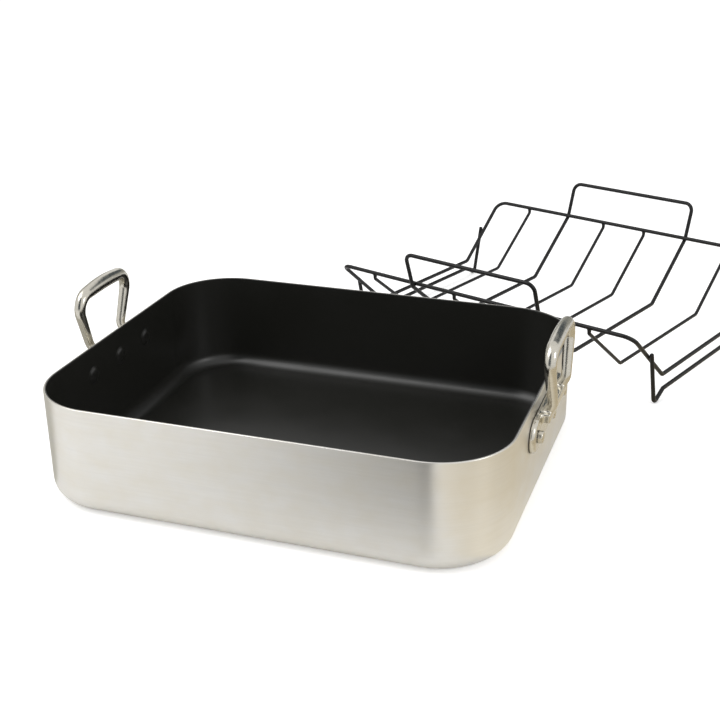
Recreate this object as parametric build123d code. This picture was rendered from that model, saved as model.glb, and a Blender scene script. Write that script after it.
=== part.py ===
from build123d import *

# Roasting pan with a wire rack, in millimetres, +Z up.
# Origin: the middle of the pan's underside, on the table. +X runs along the pan's long side, towards its
# right handle, and +Y runs from the front wall to the back wall. The rack stands on the table behind the
# pan, turned a little, and is lifted off by its own two handles.

import math
import os

# Pan shell: outside sizes, and the sheet that it is drawn from
pan_length = 406.0
pan_width = 334.0
pan_height = 97.0
pan_corner_radius = 62.0
pan_bottom_radius = 15.5
wall_thickness = 2.1
rim_edge_radius = 0.7

# Black lining on the inside
lining_thickness = 0.35

# Rivets: three in a level row through each end wall
rivet_spacing = 48.3
rivet_drop = 26.4            # from the rim down to the row
rivet_shank_radius = 3.0
rivet_hole_clearance = 0.08
rivet_head_radius = 5.4
rivet_head_height = 4.8
rivet_head_edge = 1.0
rivet_dome_radius = 6.5
rivet_dome_height = 2.0

# Pan handles: a cast loop on a base plate, which has a round lobe at each end and a ledge along its top
base_thickness = 5.0
base_lobe_radius = 14.3
base_waist = 2.0             # how far the lower edge draws in between the lobes
base_waist_radius = 9.0
base_edge_radius = 1.4
ledge_length = 72.0
ledge_depth = 11.5           # from the wall's outer face
ledge_height = 8.0
ledge_edge_radius = 1.6

# The loop's centre line, with offsets from the wall's outer face and rises from the rivet row. Its legs
# leave the ledge, bend at a knee and spread to the top corners, and the bar between them is arched
loop_root_offset = 4.5
loop_root_rise = 10.0
loop_root_spacing = 54.0
loop_knee_offset = 11.8
loop_knee_rise = 20.5
loop_knee_spacing = 56.0
loop_top_offset = 10.0
loop_top_rise = 69.0
loop_top_spacing = 91.0
loop_arch_rise = 3.2         # from the top corners up to the bar's peak
loop_knee_radius = 10.0
loop_corner_radius = 14.0
loop_arch_radius = 240.0

# The loop's oval section: its width is across the leg or the bar, its depth is away from the wall
knee_width = 7.6
knee_depth = 8.6
corner_width = 9.6
corner_depth = 10.6
bar_height = 13.2
bar_depth = 12.0
section_spacing = 8.0        # largest step between two sections of the loft

# Rack: where it stands on the table
rack_x = 140.8
rack_y = 360.5
rack_yaw = -20.0

# Rack wires
frame_wire = 4.2
slat_wire = 3.6

# Rack: closed frame of two rails and two end slats. Lengths and heights are to wire centres
frame_length = 354.6
frame_width = 310.2
rail_height = 82.6
flat_width = 172.6
flat_height = 22.0
frame_corner_radius = 12.0
slat_bend_radius = 6.0

# Rack: loop of two slats and two handles
loop_slat_spacing = 155.2
rack_handle_rise = 36.5
rack_handle_lean = 16.5
rack_handle_radius = 9.0

# Rack: four slats of their own, in an outer and an inner pair
outer_slat_gap = 46.2        # from an end slat to the outer slat next to it
inner_slat_spacing = 53.4
slat_stub = 6.2              # from the rail's centre down to the bend
slat_stub_radius = 4.0

# Rack: leg wires. The feet are round bends that stand on the table
leg_weld_height = 52.44      # where the leg crosses the end slat
leg_overlap = 4.56           # from the weld up to the leg's end
leg_lean = 13.0              # degrees from upright, outwards
foot_bend_radius = 4.2
rise_angle = 29.0            # degrees from the level, from the foot up to the run
run_height = 9.9
run_bend_radius = 5.0

# Overrun of a cutting tool past the faces that it cuts
overrun = 5.0


def rounded_block(length, width, height, corner, bottom):
    """An upright block on the table with round corners and a round bottom edge."""
    block = extrude(RectangleRounded(length, width, corner), amount=height)
    return fillet(block.edges().group_by(Axis.Z)[0], bottom)


def inner_block(inset):
    """The space inside the pan, a given distance in from its outer faces and open past the rim."""
    length = pan_length - 2 * inset
    width = pan_width - 2 * inset
    corner = pan_corner_radius - inset
    height = pan_height - inset + overrun
    block = rounded_block(length, width, height, corner, pan_bottom_radius - inset)
    return Pos(0, 0, inset) * block


def rod(start, end, radius):
    """A round bar between two points."""
    axis = Vector(end) - Vector(start)
    return extrude(Plane(origin=start, z_dir=axis) * Circle(radius), amount=axis.length)


# Places on the right end wall
wall_face = pan_length / 2
inner_face = wall_face - wall_thickness
base_face = wall_face + base_thickness
rivet_height = pan_height - rivet_drop
rivet_places = {"front": -rivet_spacing, "middle": 0, "rear": rivet_spacing}
rivet_hole_radius = rivet_shank_radius + rivet_hole_clearance


def at_end(side, piece):
    """A piece made for the right end wall, or its mirror image at the left one."""
    return piece if side > 0 else mirror(piece, about=Plane.YZ)


def rivet_rod(start_x, end_x, y, radius):
    """A round bar on the axis of a rivet of the right end wall."""
    return rod((start_x, y, rivet_height), (end_x, y, rivet_height), radius)


def rivet_dome(y, radius, height):
    """A low round cap on the inner face of the right end wall."""
    ball = (radius ** 2 + height ** 2) / (2 * height)
    cap = Pos(inner_face - height + ball, y, rivet_height) * Sphere(ball)
    behind = Box(2 * ball, 4 * ball, 4 * ball, align=(Align.MIN, Align.CENTER, Align.CENTER))
    return cap - Pos(inner_face, y, rivet_height) * behind


def make_pan_shell():
    """One drawn sheet: floor, four walls and round corners, with the rivet holes through the end walls."""
    outside = rounded_block(pan_length, pan_width, pan_height, pan_corner_radius, pan_bottom_radius)
    shell = outside - inner_block(wall_thickness)
    shell = fillet(shell.edges().group_by(Axis.Z)[-1], rim_edge_radius)
    for y in rivet_places.values():
        hole = rivet_rod(inner_face - overrun, wall_face + overrun, y, rivet_hole_radius)
        shell = shell - at_end(1, hole) - at_end(-1, hole)
    return shell


def make_lining():
    """The coating: a thin skin inside the shell, and over the domes of the rivets."""
    above = Box(pan_length, pan_width, pan_height, align=(Align.CENTER, Align.CENTER, Align.MIN))
    skin = inner_block(wall_thickness) - inner_block(wall_thickness + lining_thickness)
    skin -= Pos(0, 0, pan_height - rim_edge_radius) * above
    for side in (-1, 1):
        for y in rivet_places.values():
            coat = rivet_dome(y, rivet_dome_radius + lining_thickness, rivet_dome_height + lining_thickness)
            skin += at_end(side, coat)
            skin -= at_end(side, rivet_dome(y, rivet_dome_radius, rivet_dome_height))
    return skin


def make_rivet(side, y):
    """Shank through wall and base plate, round head outside, low dome inside."""
    head = rivet_rod(base_face, base_face + rivet_head_height, y, rivet_head_radius)
    head = fillet(head.edges().filter_by(GeomType.CIRCLE).sort_by(Axis.X)[-1], rivet_head_edge)
    shank = rivet_rod(inner_face, base_face, y, rivet_shank_radius)
    return at_end(side, head + shank + rivet_dome(y, rivet_dome_radius, rivet_dome_height))


def base_plate():
    """The lobed plate of a pan handle, with its back on the YZ plane and its ledge along the top."""
    low = rivet_height - base_lobe_radius + base_waist
    high = rivet_height + base_lobe_radius
    outline = Pos(0, (low + high) / 2) * Rectangle(2 * rivet_spacing, high - low)
    for y in (-rivet_spacing, rivet_spacing):
        outline += Pos(y, rivet_height) * Circle(base_lobe_radius)
    waist = outline.vertices().filter_by(lambda v: v.Y < rivet_height and abs(v.X) < rivet_spacing)
    outline = fillet(waist, base_waist_radius)
    plate = extrude(Plane.YZ * outline, amount=base_thickness)
    plate = fillet(plate.faces().sort_by(Axis.X)[-1].edges(), base_edge_radius)
    ledge = Box(ledge_depth, ledge_length, ledge_height, align=(Align.MIN, Align.CENTER, Align.MAX))
    ledge = fillet(ledge.faces().sort_by(Axis.X)[-1].edges(), ledge_edge_radius)
    return plate + Pos(0, 0, high) * ledge


def loop_path():
    """The centre line of a pan handle's loop, with the wall's outer face at X = 0."""
    half = [
        (loop_root_offset, loop_root_spacing / 2, rivet_height + loop_root_rise),
        (loop_knee_offset, loop_knee_spacing / 2, rivet_height + loop_knee_rise),
        (loop_top_offset, loop_top_spacing / 2, rivet_height + loop_top_rise),
    ]
    peak = (loop_top_offset, 0, rivet_height + loop_top_rise + loop_arch_rise)
    points = [(x, -y, z) for x, y, z in half] + [peak] + list(reversed(half))
    radii = [loop_knee_radius, loop_corner_radius, loop_arch_radius, loop_corner_radius, loop_knee_radius]
    return FilletPolyline(*points, radius=radii)


def loop_section(path, share):
    """The oval section of the loop at a share of its length: slim at the knees, tall on the bar."""
    centre = path @ share
    along = path % share
    climb = (centre.Z - rivet_height - loop_knee_rise) / (loop_top_rise - loop_knee_rise)
    climb = min(max(climb, 0), 1)
    swell = climb ** 4 * math.cos(math.pi * centre.Y / loop_top_spacing)
    width = knee_width + (corner_width - knee_width) * climb + (bar_height - corner_width) * swell
    depth = knee_depth + (corner_depth - knee_depth) * climb + (bar_depth - corner_depth) * swell
    plane = Plane(origin=centre, x_dir=Vector(1, 0, 0) - along * along.X, z_dir=along)
    return plane * Ellipse(depth / 2, width / 2)


def loop_shares(path):
    """Where the loft's sections lie, as shares of the path: the ends of each run and bend, and between."""
    shares = [0.0]
    done = 0.0
    for edge in path.edges():
        count = 1 + math.ceil(edge.length / section_spacing)
        shares += [(done + edge.length * step / count) / path.length for step in range(1, count + 1)]
        done += edge.length
    return shares


def make_pan_handle(side):
    """A cast loop and its base plate, cut flat at the wall and drilled for the rivets."""
    path = loop_path()
    loop = loft([loop_section(path, share) for share in loop_shares(path)])
    behind = Box(pan_length, pan_width, 4 * pan_height, align=(Align.MAX, Align.CENTER, Align.CENTER))
    handle = Pos(wall_face, 0, 0) * ((base_plate() + loop) - behind)
    for y in rivet_places.values():
        handle -= rivet_rod(wall_face - overrun, base_face + rivet_head_height, y, rivet_hole_radius)
    return at_end(side, handle)


def wire(points, radii, diameter, closed=False):
    """Bent round wire along a line of points, each with its bend radius."""
    path = FilletPolyline(*points, radius=radii, close=closed)
    start = path @ 0
    return sweep(Plane(origin=start, z_dir=path % 0) * Circle(diameter / 2), path=path)


def meet(point_a, angle_a, point_b, angle_b):
    """Where two lines cross in the rack's section, each given by a point and an angle from the level."""
    (ya, za), (yb, zb) = point_a, point_b
    ca, sa, cb, sb = math.cos(angle_a), math.sin(angle_a), math.cos(angle_b), math.sin(angle_b)
    run = ((yb - ya) * sb - (zb - za) * cb) / (ca * sb - sa * cb)
    return ya + run * ca, za + run * sa


def both_sides(half):
    """A section line from front to back, made from its back half of (y, z) points, lowest first."""
    return [(-y, z) for y, z in reversed(half)] + list(half)


def make_perimeter_frame():
    """Front rail, back rail and both end slats, bent from one wire."""
    section = both_sides([(flat_width / 2, flat_height), (frame_width / 2, rail_height)])
    right = [(frame_length / 2, y, z) for y, z in section]
    left = [(-x, y, z) for x, y, z in reversed(right)]
    radii = 2 * [frame_corner_radius, slat_bend_radius, slat_bend_radius, frame_corner_radius]
    return wire(right + left, radii, frame_wire, closed=True)


def make_handle_loop():
    """Two slats that pass round the outside of the rails and carry on as the two upright handles."""
    foot = (flat_width / 2, flat_height)
    rail = (frame_width / 2, rail_height)
    top = (rail[0] + rack_handle_lean, rail[1] + rack_handle_rise)
    contact = frame_wire
    slope = math.atan2(rail[1] - foot[1], rail[0] - foot[0]) - math.asin(contact / math.dist(foot, rail))
    rise = math.atan2(top[1] - rail[1], top[0] - rail[0]) + math.asin(contact / math.dist(top, rail))
    crook = meet(foot, slope, top, rise)
    section = both_sides([foot, crook, top])
    right = [(loop_slat_spacing / 2, y, z) for y, z in section]
    left = [(-x, y, z) for x, y, z in reversed(right)]
    radii = 2 * [rack_handle_radius, contact, slat_bend_radius, slat_bend_radius, contact, rack_handle_radius]
    return wire(right + left, radii, frame_wire, closed=True)


def make_slat(x):
    """A slat of its own: its ends turn up and are coped to the undersides of the rails."""
    rail_y = frame_width / 2
    half = [(flat_width / 2, flat_height), (rail_y, rail_height - slat_stub), (rail_y, rail_height)]
    points = [(x, y, z) for y, z in both_sides(half)]
    radii = [slat_stub_radius, slat_bend_radius, slat_bend_radius, slat_stub_radius]
    slat = wire(points, radii, slat_wire)
    for y in (-rail_y, rail_y):
        slat -= rod((x - overrun, y, rail_height), (x + overrun, y, rail_height), frame_wire / 2)
    return slat


def make_leg_wire(side):
    """The wire under one end: leg, foot, rise, run, and the same again, against the end slat's outer side."""
    lean = math.radians(leg_lean)
    climb = math.radians(rise_angle)
    leg_angle = math.pi / 2 - lean
    weld_share = (leg_weld_height - flat_height) / (rail_height - flat_height)
    weld = ((flat_width + (frame_width - flat_width) * weld_share) / 2, leg_weld_height)
    bend_z = frame_wire / 2 + foot_bend_radius
    bend_y = meet(weld, leg_angle, (0, bend_z), 0)[0] - foot_bend_radius / math.cos(lean)
    inner_touch = (bend_y - foot_bend_radius * math.sin(climb), bend_z - foot_bend_radius * math.cos(climb))
    top = meet(weld, leg_angle, (0, leg_weld_height + leg_overlap), 0)
    foot = meet(weld, leg_angle, inner_touch, -climb)
    inner = meet(inner_touch, -climb, (0, run_height), 0)
    x = side * (frame_length / 2 + frame_wire)
    points = [(x, y, z) for y, z in both_sides([inner, foot, top])]
    radii = [foot_bend_radius, run_bend_radius, run_bend_radius, foot_bend_radius]
    return wire(points, radii, frame_wire)


def on_table(piece):
    """Puts a piece of the rack where the rack stands."""
    return Pos(rack_x, rack_y, 0) * Rot(0, 0, rack_yaw) * piece


parts = {
    "pan_shell": make_pan_shell(),
    "nonstick_lining": make_lining(),
    "perimeter_frame": on_table(make_perimeter_frame()),
    "handle_loop": on_table(make_handle_loop()),
    "slat_left_outer": on_table(make_slat(outer_slat_gap - frame_length / 2)),
    "slat_left_inner": on_table(make_slat(-inner_slat_spacing / 2)),
    "slat_right_inner": on_table(make_slat(inner_slat_spacing / 2)),
    "slat_right_outer": on_table(make_slat(frame_length / 2 - outer_slat_gap)),
}
for side_name, side in (("left", -1), ("right", 1)):
    parts["handle_" + side_name] = make_pan_handle(side)
    parts["leg_wire_" + side_name] = on_table(make_leg_wire(side))
    for place, y in rivet_places.items():
        parts["rivet_" + side_name + "_" + place] = make_rivet(side, y)

os.makedirs("parts", exist_ok=True)
for name, shape in parts.items():
    export_step(shape, "parts/" + name + ".step")
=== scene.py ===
"""Looks of a roasting pan and its wire rack, built around the packed CAD model.

The file is laid out as an add-on. Property groups hold the sizes and colours, one operator makes each piece
or group of like pieces, and a panel in the 3D view's sidebar lists them. Run as a script, it makes them all.
Sizes are in metres and in the CAD model's frame: origin under the middle of the pan, +X to its right handle,
+Y towards the back wall and the rack, +Z up.
"""

import math

import bpy
import numpy as np
from mathutils import Matrix, Vector


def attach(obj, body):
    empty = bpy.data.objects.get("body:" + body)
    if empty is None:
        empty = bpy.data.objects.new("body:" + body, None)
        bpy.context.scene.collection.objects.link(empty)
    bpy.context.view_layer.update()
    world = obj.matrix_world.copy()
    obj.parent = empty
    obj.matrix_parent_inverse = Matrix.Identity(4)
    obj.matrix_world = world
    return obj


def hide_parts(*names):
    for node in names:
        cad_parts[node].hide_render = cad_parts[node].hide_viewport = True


bl_info = {
    "name": "Roasting pan with rack",
    "version": (1, 0, 0),
    "blender": (4, 5, 0),
    "location": "3D View > Sidebar > Roasting pan",
    "description": "Makes a roasting pan with cast handles, its wire rack and a plain studio",
    "category": "Add Mesh",
}

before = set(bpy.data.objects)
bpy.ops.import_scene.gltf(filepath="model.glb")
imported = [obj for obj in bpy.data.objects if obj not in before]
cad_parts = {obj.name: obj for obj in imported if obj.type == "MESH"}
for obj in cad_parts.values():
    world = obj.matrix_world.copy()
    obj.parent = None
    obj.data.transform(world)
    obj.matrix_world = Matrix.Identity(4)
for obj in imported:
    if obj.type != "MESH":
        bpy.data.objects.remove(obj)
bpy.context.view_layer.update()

MM = 0.001
SIDES = ((1, "right"), (-1, "left"))
RIVET_PLACES = ((-1, "front"), (0, "middle"), (1, "rear"))
HOLD = 0.001                # a section's points this close to a bend keep the flat beside it flat
SLIT = 0.00002              # between two skins that lie on each other
NOISE_RANGE = {"From Min": 0.32, "From Max": 0.68}   # where nearly all of a noise texture's values lie
MADE = {}                   # the scene's materials, by their makers' names


# Sizes and colours

def length(name, default, description):
    """A size in metres."""
    return bpy.props.FloatProperty(name=name, description=description, default=default, unit="LENGTH",
                                   precision=5)


def lengths(name, default, description):
    """Three sizes or a place, in metres."""
    return bpy.props.FloatVectorProperty(name=name, description=description, default=default, size=3,
                                         unit="LENGTH", precision=5)


def angle(name, degrees, description):
    """An angle, given in degrees."""
    return bpy.props.FloatProperty(name=name, description=description, default=math.radians(degrees),
                                   unit="ROTATION")


def share(name, default, description):
    """A number from 0 to 1."""
    return bpy.props.FloatProperty(name=name, description=description, default=default, min=0, max=1,
                                   subtype="FACTOR")


def amount(name, default, description):
    """A plain number."""
    return bpy.props.FloatProperty(name=name, description=description, default=default)


def linear(hex_colour):
    """An sRGB colour such as #D6D2C8 as the linear values that a shader takes, with alpha."""
    values = [int(hex_colour[k:k + 2], 16) / 255 for k in (1, 3, 5)]
    return [v / 12.92 if v <= 0.04045 else ((v + 0.055) / 1.055) ** 2.4 for v in values] + [1.0]


def colour(name, hex_colour, description):
    """A colour, given as sRGB hex."""
    return bpy.props.FloatVectorProperty(name=name, description=description, default=linear(hex_colour),
                                         size=4, min=0, max=1, subtype="COLOR")


class PanSizes(bpy.types.PropertyGroup):
    """Drawn steel pan, its lining and its rivets."""
    length: length("Length", 0.406, "Over the outside of the end walls")
    width: length("Width", 0.334, "Over the outside of the front and back walls")
    height: length("Height", 0.097, "From the table to the rim")
    corner_radius: length("Corner radius", 0.062, "Outside radius of the four upright corners")
    bottom_radius: length("Bottom radius", 0.0155, "Outside radius of the bottom edge")
    wall: length("Wall", 0.0021, "Thickness of the sheet")
    rim_edge: length("Rim edge", 0.0007, "Radius of the rim's two edges")
    lining: length("Lining", 0.00035, "Thickness of the non-stick coating")
    rivet_spacing: length("Rivet spacing", 0.0483, "Between neighbouring rivets of a handle")
    rivet_drop: length("Rivet drop", 0.0264, "From the rim down to the rivet row")
    head_radius: length("Rivet head radius", 0.0054, "Outer head")
    head_height: length("Rivet head height", 0.0048, "Outer head, over the base plate")
    dome_radius: length("Dome radius", 0.0065, "Inner head, at the wall")
    dome_height: length("Dome height", 0.0020, "Inner head, over the wall")


class HandleSizes(bpy.types.PropertyGroup):
    """Cast handle: a loop on a base plate with a lobe at each end and a ledge along its top."""
    plate: length("Plate thickness", 0.005, "Base plate")
    lobe: length("Lobe radius", 0.0143, "Round ends of the base plate")
    waist: length("Waist", 0.0020, "How far the plate's lower edge draws in between the lobes")
    plate_edge: length("Plate edge", 0.0036, "Rounding of the plate's front edge")
    back_edge: length("Back edge", 0.0010, "Rounding of the plate's edge at the wall")
    ledge_length: length("Ledge length", 0.072, "Ledge along the plate's top")
    ledge_depth: length("Ledge depth", 0.0115, "From the wall")
    ledge_height: length("Ledge height", 0.008, "Down from the plate's top edge")
    ledge_edge: length("Ledge edge", 0.0012, "Rounding of the ledge")
    # Root, knee and top are each an offset from the wall, a rise from the rivet row and a spacing
    root: lengths("Leg root", (0.0045, 0.0100, 0.054), "Where the loop's centre line starts")
    knee: lengths("Leg knee", (0.0118, 0.0205, 0.0560), "Where the loop's centre line turns outwards")
    top: lengths("Top corner", (0.010, 0.069, 0.091), "Where the leg's centre line meets the bar's")
    arch: length("Arch", 0.0032, "Rise of the bar from its ends to its middle")
    knee_bend: length("Knee radius", 0.010, "Knees, to the centre line")
    bend: length("Corner radius", 0.014, "Top corners, to the centre line")
    arch_bend: length("Arch radius", 0.24, "Middle of the bar, to the centre line")
    knee_width: length("Knee width", 0.0076, "Oval section at the knee, across the leg")
    knee_depth: length("Knee depth", 0.0086, "Oval section at the knee, away from the wall")
    corner_width: length("Corner width", 0.0096, "Oval section at the top corner")
    corner_depth: length("Corner depth", 0.0106, "Oval section at the top corner")
    bar_width: length("Bar height", 0.0132, "Oval section in the middle of the bar")
    bar_depth: length("Bar depth", 0.012, "Oval section in the middle of the bar")
    blend: length("Leg fillet", 0.0026, "How far the legs flow into the ledge")
    ledge_blend: length("Ledge fillet", 0.0028, "How far the ledge flows into the plate")
    grid: length("Mesh step", 0.00065, "Step of the grid from which the casting's surface is made")


class RackSizes(bpy.types.PropertyGroup):
    """Welded wire rack. Lengths and heights are to the wires' centres."""
    place: lengths("Place", (0.1408, 0.3605, 0.0), "Where the rack stands")
    yaw: angle("Turn", -20.0, "How far the rack is turned on the table")
    frame_wire: length("Frame wire", 0.0042, "Diameter of the rails, the handles and the legs")
    slat_wire: length("Slat wire", 0.0036, "Diameter of the four single slats")
    frame_length: length("Frame length", 0.3546, "Between the end slats")
    frame_width: length("Frame width", 0.3102, "Between the rails")
    rail_height: length("Rail height", 0.0826, "Rails")
    flat_width: length("Flat width", 0.1726, "Level part of the slats")
    flat_height: length("Flat height", 0.022, "Level part of the slats")
    frame_corner: length("Frame corner", 0.012, "Bend from a rail into an end slat")
    slat_bend: length("Slat bend", 0.006, "Bend from the flat into the slope")
    loop_spacing: length("Handle slat spacing", 0.1552, "Between the two slats that end in the handles")
    handle_rise: length("Handle rise", 0.0365, "From the rail up to the handle's top")
    handle_lean: length("Handle lean", 0.0165, "From the rail out to the handle's top")
    handle_bend: length("Handle bend", 0.009, "Top corners of the handles")
    outer_gap: length("Outer slat gap", 0.0462, "From an end slat to the outer slat next to it")
    inner_spacing: length("Inner slat spacing", 0.0534, "Between the two inner slats")
    stub: length("Stub", 0.0062, "Upright end of a single slat, below the rail's centre")
    stub_bend: length("Stub bend", 0.004, "Bend into the upright end")
    weld_height: length("Weld height", 0.05244, "Where a leg crosses the end slat")
    leg_overlap: length("Leg overlap", 0.00456, "From that weld up to the leg's end")
    leg_lean: angle("Leg lean", 13.0, "From upright, outwards")
    foot_bend: length("Foot bend", 0.0042, "Round bend that stands on the table")
    rise_angle: angle("Rise angle", 29.0, "From the foot up to the run between the feet")
    run_height: length("Run height", 0.0099, "Run between the feet")
    run_bend: length("Run bend", 0.005, "Bends into the run")
    bead: length("Weld bead", 0.0021, "Half the length of a weld's bead")


class Finishes(bpy.types.PropertyGroup):
    """Colours and gloss of the five materials."""
    steel: colour("Brushed steel", "#E0DED9", "Outside of the pan")
    steel_tinge: colour("Brushed steel tinge", "#DBD5C6", "Faint warm stains of heat and handling on it")
    steel_gloss: share("Brushed steel roughness", 0.36, "Outside of the pan")
    coating: colour("Non-stick coating", "#1D1D1A", "Inside of the pan")
    coating_gloss: share("Coating roughness", 0.32, "Inside of the pan")
    casting: colour("Cast steel", "#C9C5BA", "Pan handles")
    casting_gloss: share("Cast steel roughness", 0.20, "Pan handles")
    rivet: colour("Rivet steel", "#C4BFB2", "Outer rivet heads")
    rivet_gloss: share("Rivet roughness", 0.24, "Outer rivet heads")
    # Painted shade: the colour laid where a casting or a rivet meets what it sits on, in place of the shade
    # in that gap
    painted_joint_shade: colour("Crevice", "#2E2A24", "Tarnish where a casting or a rivet meets what it sits on")
    wire: colour("Wire coating", "#101011", "Rack")
    wire_gloss: share("Wire coating roughness", 0.36, "Rack")


class StudioSettings(bpy.types.PropertyGroup):
    """Camera, lamps and floor."""
    camera_place: lengths("Camera", (0.37497, -0.93521, 0.52228), "Where the camera stands")
    camera_azimuth: angle("Azimuth", 19.7657, "Of the camera, from the front towards the right")
    camera_elevation: angle("Elevation", 23.1984, "Of the camera, above the level")
    camera_roll: angle("Roll", -0.9317, "Of the camera")
    lens: amount("Lens", 61.856, "Focal length, in millimetres")
    sensor: amount("Sensor", 36.0, "Width of the camera's frame, in millimetres")
    floor: colour("Floor", "#FFFFFF", "Floor and background")
    floor_glow: amount("Floor glow", 0.34, "What the floor shines by itself, for the camera alone")
    fill: amount("Fill", 0.74, "Strength of the light from all around")
    key: amount("Key", 11.0, "Power of the main soft lamp, in watts")


GROUPS = {"roaster_pan": PanSizes, "roaster_handle": HandleSizes, "roaster_rack": RackSizes,
          "roaster_finish": Finishes, "roaster_studio": StudioSettings}


# Meshes

def mesh_object(name, points, faces, edges=()):
    """A new object with its mesh, smooth shaded, at the origin."""
    mesh = bpy.data.meshes.new(name)
    mesh.from_pydata([tuple(p) for p in points], list(edges), [tuple(f) for f in faces])
    mesh.validate()
    mesh.polygons.foreach_set("use_smooth", [True] * len(mesh.polygons))
    piece = bpy.data.objects.new(name, mesh)
    bpy.context.scene.collection.objects.link(piece)
    return piece


def finish_piece(piece, body, slot, material, *nodes):
    """Gives a piece its material and its body, and hides the CAD nodes that it stands for. slot is not used.
    """
    piece.data.materials.clear()
    piece.data.materials.append(material)
    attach(piece, body)
    if nodes:
        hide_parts(*nodes)


def loft(rings):
    """Points and faces of a closed skin over rings of equally many points, with a flat cap at both ends."""
    count = len(rings[0])
    points = [p for ring in rings for p in ring]
    faces = [tuple(reversed(range(count)))]
    for low in range(0, count * (len(rings) - 1), count):
        for k in range(count):
            nxt = (k + 1) % count
            faces.append((low + k, low + nxt, low + count + nxt, low + count + k))
    faces.append(tuple(range(len(points) - count, len(points))))
    return points, faces


def quarter(centre, radius, start, steps):
    """Points of a quarter turn in a section of (inset, height), from an angle in quarter turns."""
    turns = [(start + k / steps) * math.pi / 2 for k in range(steps + 1)]
    return [(centre[0] + radius * math.cos(t), centre[1] + radius * math.sin(t)) for t in turns]


def bottom_turn(pan, inset, steps=12):
    """Points of the pan's bottom edge in a section, from the wall to the floor, drawn in by inset."""
    radius = pan.bottom_radius
    return [(radius - x, radius - z) for x, z in quarter((0, 0), radius - inset, 0, steps)]


def pan_ring(pan, inset, z, steps=20, hold=0.004):
    """The pan's outline, drawn in by inset. Points near the ends of the straight sides keep these flat."""
    half_x, half_y = pan.length / 2 - inset, pan.width / 2 - inset
    radius = pan.corner_radius - inset
    points = []
    for k, (sx, sy) in enumerate(((1, 1), (-1, 1), (-1, -1), (1, -1))):
        centre = Vector((sx * (half_x - radius), sy * (half_y - radius)))
        turns = [(k + step / steps) * math.pi / 2 for step in range(steps + 1)]
        arc = [centre + radius * Vector((math.cos(t), math.sin(t))) for t in turns]
        before = Vector((math.sin(turns[0]), -math.cos(turns[0]))) * hold
        after = Vector((-math.sin(turns[-1]), math.cos(turns[-1]))) * hold
        points += [arc[0] + before] + arc + [arc[-1] + after]
    return [(x, y, z) for x, y in points]


def lathe(profile, place, axis, count=40):
    """Points and faces turned about an axis through place. The profile has (radius, height) pairs."""
    turn = Vector(axis).to_track_quat("Z", "Y").to_matrix()
    rings = []
    for radius, height in profile:
        ring = []
        for k in range(count):
            a = 2 * math.pi * k / count
            local = Vector((radius * math.cos(a), radius * math.sin(a), height))
            ring.append(tuple(Vector(place) + turn @ local))
        rings.append(ring)
    return loft(rings)


def joined(parts):
    """Several (points, faces) as one."""
    points, faces = [], []
    for some_points, some_faces in parts:
        base = len(points)
        points += some_points
        faces += [tuple(base + k for k in face) for face in some_faces]
    return points, faces


# Lines and castings

def rounded_line(corners, radii, step):
    """Points along a line of corners, rounded by arcs, at about a given step. Radii are for inner corners."""
    corners = [Vector(c) for c in corners]
    points = [corners[0]]

    def run_to(end):
        start = points[-1]
        count = max(1, math.ceil((end - start).length / step))
        points.extend(start.lerp(end, k / count) for k in range(1, count + 1))

    for before, corner, after, radius in zip(corners, corners[1:], corners[2:], radii):
        back, ahead = (before - corner).normalized(), (after - corner).normalized()
        half = back.angle(ahead) / 2
        centre = corner + (back + ahead).normalized() * radius / math.sin(half)
        run_to(corner + back * radius / math.tan(half))
        arm = points[-1] - centre
        turn = math.pi - 2 * half
        axis = arm.cross(-back).normalized()
        count = max(2, math.ceil(radius * turn / step))
        points.extend(centre + Matrix.Rotation(turn * k / count, 3, axis) @ arm for k in range(1, count + 1))
    run_to(corners[-1])
    return points


def soft_union(a, b, reach):
    """Distance to two bodies that flow into each other over a given reach."""
    mix = np.clip(0.5 + 0.5 * (b - a) / reach, 0, 1)
    return b + (a - b) * mix - reach * mix * (1 - mix)


def rounded_edge(a, b, radius):
    """Distance to what lies inside two faces, with their shared edge rounded."""
    a, b = a + radius, b + radius
    return np.hypot(np.maximum(a, 0), np.maximum(b, 0)) + np.minimum(np.maximum(a, b), 0) - radius


def block_distance(points, low, high, edge):
    """Distance to a block with rounded edges."""
    low, high = np.array(low), np.array(high)
    out = np.abs(points - (low + high) / 2) - (high - low) / 2 + edge
    return np.linalg.norm(np.maximum(out, 0), axis=1) + np.minimum(out.max(1), 0) - edge


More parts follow.
